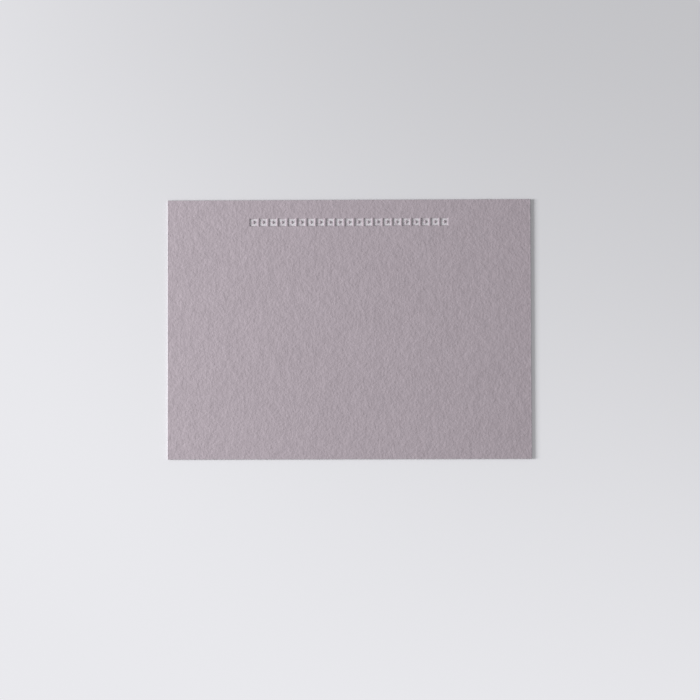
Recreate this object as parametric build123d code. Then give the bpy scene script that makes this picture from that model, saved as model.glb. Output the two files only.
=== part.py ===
from build123d import *
import os

# Note card of thick cotton stock with a row of small tiles pressed into its front.
# It lies on its back: X along the long edge, Y towards the top edge, Z out of the front.

# Sheet, trimmed to fit its envelope
card_width = 177.8
card_height = 127.0
card_thickness = 0.9
front_edge_radius = 0.15

# Row of tiles, centred across the card; a heart's size is from point to point
row_length = 96.8
row_top_margin = 9.2
tile_count = 21
tile_gap = 1.375
tile_height = 3.4
heart_size = 1.9

# Impression left by the printing plate
press_depth = 0.38
wall_draft = 40.0
shoulder_radius = 0.3

# Places that follow from the sizes above
floor_height = card_thickness - press_depth
row_centre_y = card_height / 2 - row_top_margin - tile_height / 2
tile_width = (row_length + tile_gap) / tile_count - tile_gap
tile_pitch = tile_width + tile_gap


def blank():
    # Guillotined sheet, its front edges eased and its back left sharp
    sheet = extrude(Rectangle(card_width, card_height), card_thickness)
    front_edges = sheet.edges().group_by(Axis.Z)[-1]
    return fillet(front_edges, front_edge_radius)


def tile_outline():
    # Lozenge of unpressed paper left in the middle of each tile
    heart_side = heart_size / 2**0.5
    heart = Rot(0, 0, 45) * Rectangle(heart_side, heart_side)
    return Rectangle(tile_width, tile_height) - heart


def plate_relief(outline):
    # True to the outline at the floor of the impression, with walls that open upwards
    floor = Plane.XY.offset(floor_height)
    block = extrude(floor * outline, press_depth)
    walls = block.faces().filter_by(Axis.Z, reverse=True)
    return draft(walls, floor, -wall_draft)


def tiles():
    tile = plate_relief(tile_outline())
    places = GridLocations(tile_pitch, 0, tile_count, 1)
    return [Pos(0, row_centre_y) * place * tile for place in places]


def rounded_shoulders(card):
    # Paper fibres are drawn down over the rim of everything that is pressed
    *hearts, front = card.faces().group_by(Axis.Z)[-1].sort_by(SortBy.AREA)
    rims = front.inner_wires() + [heart.outer_wire() for heart in hearts]
    return fillet([edge for rim in rims for edge in rim.edges()], shoulder_radius)


def note_card():
    return rounded_shoulders(blank() - tiles())


os.makedirs("parts", exist_ok=True)
export_step(note_card(), "parts/note_card.step")
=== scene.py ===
import math

import bpy
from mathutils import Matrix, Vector


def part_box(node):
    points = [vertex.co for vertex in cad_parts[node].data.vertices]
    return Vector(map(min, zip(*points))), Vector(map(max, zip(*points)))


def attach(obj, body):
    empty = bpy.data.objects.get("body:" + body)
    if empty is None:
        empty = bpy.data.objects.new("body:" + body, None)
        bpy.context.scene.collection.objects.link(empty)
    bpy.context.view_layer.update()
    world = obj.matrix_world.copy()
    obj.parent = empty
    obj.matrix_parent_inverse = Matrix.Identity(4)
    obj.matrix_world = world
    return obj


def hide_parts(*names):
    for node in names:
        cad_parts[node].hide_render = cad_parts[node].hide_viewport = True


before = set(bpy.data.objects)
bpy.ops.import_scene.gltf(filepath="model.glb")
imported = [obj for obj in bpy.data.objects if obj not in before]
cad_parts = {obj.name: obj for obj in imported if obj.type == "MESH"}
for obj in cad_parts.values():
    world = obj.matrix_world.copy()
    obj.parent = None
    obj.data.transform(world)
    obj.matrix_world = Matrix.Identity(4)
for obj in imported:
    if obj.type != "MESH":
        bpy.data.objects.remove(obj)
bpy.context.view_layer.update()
lowCorner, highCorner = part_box("note_card")

scene = bpy.context.scene
scene.view_settings.view_transform = "Standard"


# selecting and modifiers

def clearSelection():
    if bpy.context.object and bpy.context.object.mode != "OBJECT":
        bpy.ops.object.mode_set(mode="OBJECT")
    bpy.ops.object.select_all(action="DESELECT")


def makeActive(piece):
    clearSelection()
    piece.select_set(True)
    bpy.context.view_layer.objects.active = piece


def startPicking(piece, kind):
    # nothing of it is selected, and it is in object mode, where code can select
    makeActive(piece)
    bpy.ops.object.mode_set(mode="EDIT")
    bpy.ops.mesh.select_mode(type=kind)
    bpy.ops.mesh.select_all(action="DESELECT")
    bpy.ops.object.mode_set(mode="OBJECT")


def pickFaces(piece, test):
    # ends in edit mode, with only the faces whose centre passes the test
    startPicking(piece, "FACE")
    for face in piece.data.polygons:
        face.select = test(face.center)
    bpy.ops.object.mode_set(mode="EDIT")


def pickEdges(piece, test):
    # the same for edges, by both their ends
    startPicking(piece, "EDGE")
    points = piece.data.vertices
    for edge in piece.data.edges:
        edge.select = all(test(points[i].co) for i in edge.vertices)
    bpy.ops.object.mode_set(mode="EDIT")


def paintPicked(piece, slotNumber):
    piece.active_material_index = slotNumber
    bpy.ops.object.material_slot_assign()
    bpy.ops.object.mode_set(mode="OBJECT")


def applyModifier(piece, kind, **values):
    makeActive(piece)
    bpy.ops.object.modifier_add(type=kind)
    added = piece.modifiers[-1]
    for name, value in values.items():
        setattr(added, name, value)
    bpy.ops.object.modifier_apply(modifier=added.name)


# materials

def newMaterial(name):
    material = bpy.data.materials.new(name)
    material.use_nodes = True
    return material, material.node_tree, material.node_tree.nodes["Principled BSDF"]


def addNode(tree, kind, **settings):
    node = tree.nodes.new(kind)
    for name, value in settings.items():
        setattr(node, name, value)
    return node


def setInputs(node, **values):
    for name, value in values.items():
        node.inputs[name.replace("_", " ")].default_value = value


def mathStep(tree, operation, a, b=0):
    # a and b are numbers or other nodes' sockets
    node = addNode(tree, "ShaderNodeMath", operation=operation)
    for socket, value in zip(node.inputs, (a, b)):
        if isinstance(value, (int, float)):
            socket.default_value = value
        else:
            tree.links.new(value, socket)
    return node.outputs[0]


def vectorStep(tree, operation, value, other=(0, 0, 0)):
    step = addNode(tree, "ShaderNodeVectorMath", operation=operation)
    step.inputs[1].default_value = other
    tree.links.new(value, step.inputs[0])
    return step


def scaledColor(tree, color, factor):
    scaled = addNode(tree, "ShaderNodeVectorMath", operation="SCALE")
    tree.links.new(color, scaled.inputs[0])
    tree.links.new(factor, scaled.inputs["Scale"])
    return scaled.outputs[0]


def mixedColor(tree, mask, low, high):
    # colours are given as a tuple or as another node's socket; the node's own colours are
    # its inputs 6 and 7, after those of its other data types
    mix = addNode(tree, "ShaderNodeMix", data_type="RGBA")
    tree.links.new(mask, mix.inputs[0])
    for socket, color in zip(mix.inputs[6:8], (low, high)):
        if isinstance(color, tuple):
            socket.default_value = (*color, 1)
        else:
            tree.links.new(color, socket)
    return mix.outputs[2]


def easedRange(tree, value, fromMin, fromMax, toMin=0, toMax=1, kind="SMOOTHSTEP"):
    ranged = addNode(tree, "ShaderNodeMapRange", interpolation_type=kind)
    setInputs(ranged, From_Min=fromMin, From_Max=fromMax, To_Min=toMin, To_Max=toMax)
    tree.links.new(value, ranged.inputs["Value"])
    return ranged.outputs["Result"]


def mixedShader(tree, mask, first, second, output):
    mix = addNode(tree, "ShaderNodeMixShader")
    for value, socket in zip((mask, first, second), mix.inputs):
        tree.links.new(value, socket)
    tree.links.new(mix.outputs[0], tree.nodes[output].inputs["Surface"])


def showsTo(tree):
    # 1 for what the eye sees directly, in a reflection or through glass
    path = addNode(tree, "ShaderNodeLightPath").outputs
    seen = mathStep(tree, "MAXIMUM", path["Is Camera Ray"], path["Is Glossy Ray"])
    return mathStep(tree, "MAXIMUM", seen, path["Is Transmission Ray"])


cottonGrain = {
    "fineNoise": (2, 0.62),  # detail and roughness, as in all four noises
    "coarseNoise": (0, 0.5),
    "coarseSize": 2.7,       # wide marks under the fine ones, times their size
    "coarseHeight": 0.5,     # and times their height
    "fibreNoise": (2, 0.55),
    "fibreWander": 0.6,
    "fibreLength": 5,        # times the fibre's width
    "fibreSharpness": 11,
    "fibreLays": ((57, 0), (117, 0.3), (177, 0.7)),  # degrees, and a shift of their pattern
    "cloudNoise": (3, 0.6),
    "cloudSize": 0.02,
    "cloudRange": (0.3, 0.7),
    "toothRange": (0.5, 1),
    "cloudShare": 0.3,       # share of the clouds in the mask of uneven dye and painted hollow shade, the rest follows the tooth
}


def cottonGroup(g):
    # felt marks, loose fibres and uneven dye of mould-made cotton stock, with painted shade in
    # the hollows of its tooth
    group = bpy.data.node_groups.new("cottonPaper", "ShaderNodeTree")
    sockets = group.interface
    for name, value in (
        ("Felt Size", 0.001), ("Felt Height", 1), ("Fibre Size", 0.0003), ("Fibre Height", 0.02),
    ):
        socket = sockets.new_socket(name, in_out="INPUT", socket_type="NodeSocketFloat")
        socket.default_value = value
    for name in ("Height", "Felt", "Fibres", "Dye and Painted Shade"):
        sockets.new_socket(name, in_out="OUTPUT", socket_type="NodeSocketFloat")
    inside = addNode(group, "NodeGroupInput").outputs
    outside = addNode(group, "NodeGroupOutput").inputs
    place = addNode(group, "ShaderNodeTexCoord").outputs["Object"]
    link = group.links.new

    def noise(kind, size, vector=place, wander=0):
        detail, roughness = g[kind]
        spread = addNode(group, "ShaderNodeTexNoise")
        setInputs(spread, Detail=detail, Roughness=roughness, Distortion=wander)
        link(mathStep(group, "DIVIDE", 1, size), spread.inputs["Scale"])
        link(vector, spread.inputs["Vector"])
        return spread.outputs["Fac"]

    fine = noise("fineNoise", inside["Felt Size"])
    wide = mathStep(group, "MULTIPLY", inside["Felt Size"], g["coarseSize"])
    coarse = mathStep(group, "MULTIPLY", noise("coarseNoise", wide), g["coarseHeight"])
    felt = mathStep(group, "ADD", fine, coarse)

    # a fibre wherever a stretched noise crosses its middle value
    fibres = 0
    for turn, shift in g["fibreLays"]:
        laid = addNode(group, "ShaderNodeMapping", vector_type="TEXTURE")
        setInputs(
            laid,
            Location=(shift, 0, 0),
            Rotation=(0, 0, math.radians(turn)),
            Scale=(1, g["fibreLength"], 1),
        )
        link(place, laid.inputs["Vector"])
        strands = noise("fibreNoise", inside["Fibre Size"], laid.outputs[0], g["fibreWander"])
        offset = mathStep(group, "ABSOLUTE", mathStep(group, "SUBTRACT", strands, 0.5))
        slope = mathStep(group, "MULTIPLY", offset, g["fibreSharpness"])
        fibres = mathStep(group, "MAXIMUM", mathStep(group, "SUBTRACT", 1, slope), fibres)

    # the hollows of the tooth are darker, as painted shade and deeper dye, and the dye is deeper
    # here and there in the sheet
    tops = easedRange(group, felt, *g["toothRange"])
    clouds = easedRange(group, noise("cloudNoise", g["cloudSize"]), *g["cloudRange"])
    dyeAndPaintedShade = mathStep(
        group,
        "ADD",
        mathStep(group, "MULTIPLY", tops, 1 - g["cloudShare"]),
        mathStep(group, "MULTIPLY", clouds, g["cloudShare"]),
    )
    height = mathStep(
        group,
        "ADD",
        mathStep(group, "MULTIPLY", felt, inside["Felt Height"]),
        mathStep(group, "MULTIPLY", fibres, inside["Fibre Height"]),
    )
    link(height, outside["Height"])
    link(felt, outside["Felt"])
    link(fibres, outside["Fibres"])
    link(dyeAndPaintedShade, outside["Dye and Painted Shade"])
    return group


def cottonMaterial(name, cotton, m):
    # soft uncoated stock, dyed through, with or without ink on it
    material, tree, shader = newMaterial(name)
    link = tree.links.new
    paper = addNode(tree, "ShaderNodeGroup", node_tree=cotton)
    setInputs(
        paper,
        Felt_Size=m["feltSize"],
        Felt_Height=m["feltHeight"],
        Fibre_Size=m["fibreSize"],
        Fibre_Height=m["fibreHeight"],
    )
    # the mask is low in the tooth's hollows, as painted shade and deeper dye, and where the dye
    # is uneven
    color = mixedColor(tree, paper.outputs["Dye and Painted Shade"], m["dark"], m["light"])
    fibres = mathStep(tree, "MULTIPLY", paper.outputs["Fibres"], m["fibreShow"])
    color = mixedColor(tree, fibres, color, m["fibreColor"])
    rough = easedRange(tree, paper.outputs["Fibres"], 0, 1, m["rough"], 1)
    if "ink" in m:  # thin in the hollows of the tooth, full on its tops
        cover = easedRange(tree, paper.outputs["Felt"], *m["inkHollow"], m["inkThin"], 1)
        color = mixedColor(tree, cover, color, m["ink"])
        rough = easedRange(tree, cover, m["inkThin"], 1, m["rough"], m["inkRough"])
    link(color, shader.inputs["Base Color"])
    link(rough, shader.inputs["Roughness"])
    bump = addNode(tree, "ShaderNodeBump")
    setInputs(bump, Strength=1, Distance=m["bump"])
    link(paper.outputs["Height"], bump.inputs["Height"])
    link(bump.outputs[0], shader.inputs["Normal"])
    setInputs(shader, Specular_IOR_Level=m["shine"])
    return material


stockLook = {
    "dark": (0.385, 0.335, 0.371), "light": (0.428, 0.373, 0.413),
    "fibreColor": (0.5, 0.44, 0.48), "fibreShow": 0.12,
    "feltSize": 0.00128, "feltHeight": 1, "fibreSize": 0.00028, "fibreHeight": 0.022,
    "bump": 0.000216, "rough": 0.85, "shine": 0.15,
}
cutLook = {
    "dark": (0.385, 0.335, 0.37), "light": (0.41, 0.357, 0.395),
    "fibreColor": (0.5, 0.44, 0.48), "fibreShow": 0.35,
    "feltSize": 0.0003, "feltHeight": 0.6, "fibreSize": 0.0002, "fibreHeight": 0.6,
    "bump": 0.00004, "rough": 0.9, "shine": 0.15,
}
printLook = {
    **stockLook,
    "feltSize": 0.0008, "feltHeight": 0.5, "fibreHeight": 0.03, "bump": 0.00008,
    "ink": (0.65, 0.63, 0.665), "inkRough": 0.5, "shine": 0.4,
    "inkThin": 0.3, "inkHollow": (0.62, 0.82),  # how thin it is where the tooth is low
}
cotton = cottonGroup(cottonGrain)
cardMaterials = [  # in the order of their slots
    cottonMaterial("cottonStock", cotton, stockLook),
    cottonMaterial("cutEdge", cotton, cutLook),
    cottonMaterial("palePrint", cotton, printLook),
]
cutSlot, inkSlot = 1, 2
print("materials:", len(cardMaterials))


# the sheet

sheetSizes = {
    "width": highCorner.x - lowCorner.x,
    "height": highCorner.y - lowCorner.y,
    "thickness": highCorner.z - lowCorner.z,
    "cell": 0.00058,        # grid of the front, fine enough for the felt marks
    "frontRound": 0.00018,  # edge eased by the guillotine's blade
    "frontSteps": 4,
    "backRound": 0.00004,
    "backSteps": 2,
    "feltDepth": 0.00006,   # deepest hollow of the felt marks
    "feltSize": 0.0034,
    "smoothAngle": 35,      # degrees
}


def makeSheet(s):
    clearSelection()
    bpy.ops.mesh.primitive_grid_add(
        x_subdivisions=round(s["width"] / s["cell"]),
        y_subdivisions=round(s["height"] / s["cell"]),
        size=1,
        location=(0, 0, s["thickness"]),
    )
    sheet = bpy.context.object
    sheet.name = "note_card_stock"
    bpy.ops.transform.resize(value=(s["width"], s["height"], 1))
    bpy.ops.object.transform_apply(location=True, rotation=True, scale=True)
    for material in cardMaterials:
        sheet.data.materials.append(material)
    near = s["cell"] / 10  # less than this is a match

    def onRim(p):
        return s["width"] / 2 - abs(p.x) < near or s["height"] / 2 - abs(p.y) < near

    # cut edge down to the back, then the back itself
    pickEdges(sheet, onRim)
    bpy.ops.mesh.extrude_edges_move(TRANSFORM_OT_translate={"value": (0, 0, -s["thickness"])})
    bpy.ops.mesh.edge_face_add()
    bpy.ops.mesh.select_all(action="SELECT")
    bpy.ops.mesh.normals_make_consistent(inside=False)
    pickEdges(sheet, lambda p: onRim(p) and p.z > s["thickness"] - near)
    bpy.ops.mesh.bevel(offset=s["frontRound"], segments=s["frontSteps"], affect="EDGES")
    pickEdges(sheet, lambda p: onRim(p) and p.z < near)
    bpy.ops.mesh.bevel(offset=s["backRound"], segments=s["backSteps"], affect="EDGES")
    pickFaces(sheet, onRim)
    paintPicked(sheet, cutSlot)
    return sheet


def pressFelt(sheet, s):
    # the paper machine's felt leaves hollows, and the paper between them keeps its height
    front = sheet.vertex_groups.new(name="front")
    rounded = s["thickness"] - s["frontRound"] / 50  # the eased edge starts just below the front
    front.add([v.index for v in sheet.data.vertices if v.co.z > rounded], 1, "REPLACE")
    felt = bpy.data.textures.new("felt", "CLOUDS")
    felt.noise_scale = s["feltSize"]
    felt.noise_depth = 1
    applyModifier(
        sheet, "DISPLACE", texture=felt, texture_coords="LOCAL", direction="Z",
        mid_level=1, strength=s["feltDepth"], vertex_group="front",
    )


sheet = makeSheet(sheetSizes)
pressFelt(sheet, sheetSizes)
print("sheet:", len(sheet.data.polygons), "faces")


# the pressed row: tiles with a lozenge of paper left standing in each

rowSizes = {
    "length": 0.0968,
    "topMargin": 0.0092,
    "count": 21,
    "tileGap": 0.001375,
    "tileHeight": 0.0034,
    "heart": 0.0019,        # from point to point
    "depth": 0.00038,
    "wallDraft": 40,        # degrees
    "shoulderRadius": 0.0003,
    "shoulderSteps": 5,
    "clear": 0.0002,        # how far cutters reach past what they cut
}


def wallSteps(r):
    # (sideways, down) moves from the rim to the floor: a rounded shoulder, then the wall
    steepest = math.radians(90 - r["wallDraft"])
    radius = r["shoulderRadius"]
    slopes = [steepest * i / r["shoulderSteps"] for i in range(r["shoulderSteps"] + 1)]
    steps = [
        (radius * (math.sin(b) - math.sin(a)), radius * (math.cos(a) - math.cos(b)))
        for a, b in zip(slopes, slopes[1:])
    ]
    left = r["depth"] - sum(down for _, down in steps)
    steps.append((left / math.tan(steepest), left))
    return steps


def makeStack(name, moves):
    # the flat outline just added grows into a solid, each move inwards and up from the last
    stack = bpy.context.object
    stack.name = name
    bpy.ops.object.transform_apply(location=True, rotation=True, scale=True)
    for material in cardMaterials:
        stack.data.materials.append(material)
    bpy.ops.object.mode_set(mode="EDIT")
    bpy.ops.mesh.select_all(action="SELECT")
    for inwards, up in moves:
        if inwards:
            bpy.ops.mesh.inset(thickness=inwards, depth=up)
        else:
            bpy.ops.mesh.extrude_region_move(TRANSFORM_OT_translate={"value": (0, 0, up)})
    bpy.ops.mesh.select_all(action="SELECT")
    bpy.ops.mesh.normals_make_consistent(inside=False)
    bpy.ops.object.mode_set(mode="OBJECT")
    return stack


def makeTile(place, width, surface, r):
    # a raised tile of the printing plate, widest at the rim of what it presses
    steps = wallSteps(r)
    spread = 2 * sum(sideways for sideways, _ in steps)
    clearSelection()
    bpy.ops.mesh.primitive_plane_add(size=1, location=(*place, surface + r["clear"]))
    bpy.ops.transform.resize(value=(width + spread, r["tileHeight"] + spread, 1))
    return makeStack("tile", [(0, -r["clear"])] + [(sideways, -down) for sideways, down in steps])


def makeHeart(place, surface, r):
    # the opening in the plate's tile, widest at the floor
    steps = wallSteps(r)
    clearSelection()
    bpy.ops.mesh.primitive_circle_add(
        vertices=4, radius=r["heart"] / 2, fill_type="NGON",
        location=(*place, surface - r["depth"] - r["clear"]),
    )
    return makeStack("heart", [(0, r["clear"])] + steps[::-1] + [(0, r["clear"])])


def pressRow(sheet, s, r):
    surface = s["thickness"] - s["feltDepth"] / 4  # between the tops and the hollows of the felt
    pitch = (r["length"] + r["tileGap"]) / r["count"]
    tileWidth = pitch - r["tileGap"]
    firstX = (tileWidth - r["length"]) / 2
    rowY = (s["height"] - r["tileHeight"]) / 2 - r["topMargin"]
    place = (firstX, rowY)
    tiles = makeTile(place, tileWidth, surface, r)
    hearts = makeHeart(place, surface, r)
    for cutter in (tiles, hearts):
        applyModifier(
            cutter, "ARRAY", count=r["count"], use_relative_offset=False,
            use_constant_offset=True, constant_offset_displace=(pitch, 0, 0),
        )
    applyModifier(tiles, "BOOLEAN", operation="DIFFERENCE", object=hearts, solver="MANIFOLD")
    floor = surface - r["depth"]
    pickFaces(tiles, lambda p: p.z < floor + r["clear"] / 10)
    paintPicked(tiles, inkSlot)
    applyModifier(sheet, "BOOLEAN", operation="DIFFERENCE", object=tiles, solver="MANIFOLD")
    for cutter in (tiles, hearts):
        bpy.data.objects.remove(cutter)


pressRow(sheet, sheetSizes, rowSizes)
makeActive(sheet)
bpy.ops.object.shade_smooth_by_angle(angle=math.radians(sheetSizes["smoothAngle"]))
print("pressed:", sum(len(f.vertices) - 2 for f in sheet.data.polygons), "triangles")

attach(sheet, "root")
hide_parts("note_card")


# floor

floorLook = {
    "backdrop": (0.82, 0.82, 0.852),
    "shade": 0.66,        # painted shade of a dimmer studio beyond the card's top right corner
    "shadeAt": (0.23, 0.3, 0),
    "shadeNear": 0.13,
    "shadeFar": 0.58,
    "leftTint": 0.8,      # painted light and shade in the floor's colour, evening out the key's falloff
    "rightTint": 1.34,
    "tintReach": 0.17,
    "fadeFrom": 0.03,     # this far from the card the floor starts to melt into the backdrop
    "fadeTo": 0.15,
    "size": 30,
    "under": 0.00002,     # just clear of the card's back
}


def makeFloor(f, s):
    clearSelection()
    bpy.ops.mesh.primitive_plane_add(size=f["size"], location=(0, 0, -f["under"]))
    floor = bpy.context.object
    floor.name = "floor"
    bpy.ops.object.transform_apply(location=True, rotation=True, scale=True)
    material, tree, shader = newMaterial("paleFloor")
    link = tree.links.new
    setInputs(shader, Roughness=1, Specular_IOR_Level=0)
    place = addNode(tree, "ShaderNodeTexCoord").outputs["Object"]

    # painted shade: the floor's colour and its glow are darker towards shadeAt
    toShade = vectorStep(tree, "DISTANCE", place, f["shadeAt"]).outputs["Value"]
    shade = easedRange(tree, toShade, f["shadeNear"], f["shadeFar"], f["shade"])
    backdrop = addNode(tree, "ShaderNodeRGB").outputs[0]
    backdrop.default_value = (*f["backdrop"], 1)
    backdropWithPaintedShade = scaledColor(tree, backdrop, shade)
    along = addNode(tree, "ShaderNodeSeparateXYZ")
    link(place, along.inputs[0])
    reach = f["tintReach"]
    # painted light and shade: the floor's colour is darker on the left and lighter on the right,
    # against the key's falloff
    tint = easedRange(
        tree, along.outputs["X"], -reach, reach, f["leftTint"], f["rightTint"], "LINEAR"
    )
    link(scaledColor(tree, backdropWithPaintedShade, tint), shader.inputs["Base Color"])

    # distance from the card's outline
    aside = vectorStep(tree, "ABSOLUTE", place).outputs[0]
    past = vectorStep(tree, "SUBTRACT", aside, (s["width"] / 2, s["height"] / 2, 0)).outputs[0]
    outside = vectorStep(tree, "MAXIMUM", past).outputs[0]
    away = vectorStep(tree, "LENGTH", outside).outputs["Value"]
    fade = easedRange(tree, away, f["fadeFrom"], f["fadeTo"])
    mask = mathStep(tree, "MULTIPLY", fade, showsTo(tree))
    plain = addNode(tree, "ShaderNodeEmission")
    link(backdropWithPaintedShade, plain.inputs["Color"])
    mixedShader(tree, mask, shader.outputs[0], plain.outputs[0], "Material Output")
    floor.data.materials.append(material)


makeFloor(floorLook, sheetSizes)


# light

lightLook = {
    "keyReach": 0.97,      # along the floor, from the card's middle
    "keyElevation": 20,    # degrees above the card
    "keyAzimuth": 180,     # the card's left
    "keySize": 0.32,
    "keyPower": 16.8,
    "fill": 0.42,
}


def makeKey(look):
    turn, rise = math.radians(look["keyAzimuth"]), math.radians(look["keyElevation"])
    place = look["keyReach"] * Vector((math.cos(turn), math.sin(turn), math.tan(rise)))
    clearSelection()
    bpy.ops.object.light_add(type="AREA", location=place)
    key = bpy.context.object
    key.name = "key"
    key.rotation_euler = (-place).to_track_quat("-Z", "Y").to_euler()
    key.data.size = look["keySize"]
    key.data.energy = look["keyPower"]
    key.visible_camera = False


def makeWorld(look, backdrop):
    world = bpy.data.worlds.new("studio")
    scene.world = world
    world.use_nodes = True
    tree = world.node_tree
    fill = tree.nodes["Background"]
    setInputs(fill, Color=(1, 1, 1, 1), Strength=look["fill"])
    seen = addNode(tree, "ShaderNodeBackground")
    setInputs(seen, Color=(*backdrop, 1), Strength=1)
    mixedShader(tree, showsTo(tree), fill.outputs[0], seen.outputs[0], "World Output")


makeKey(lightLook)
makeWorld(lightLook, floorLook["backdrop"])


# camera, looking almost straight down

cameraLook = {
    "place": (0.0092, -0.0336, 0.809),
    "turn": (1.66, 0.63, -0.16),  # degrees
    "lens": 85,
}


def makeCamera(c):
    clearSelection()
    bpy.ops.object.camera_add(location=c["place"], rotation=[math.radians(a) for a in c["turn"]])
    scene.camera = bpy.context.object
    scene.camera.data.lens = c["lens"]


makeCamera(cameraLook)
print("floor, light and camera: done")
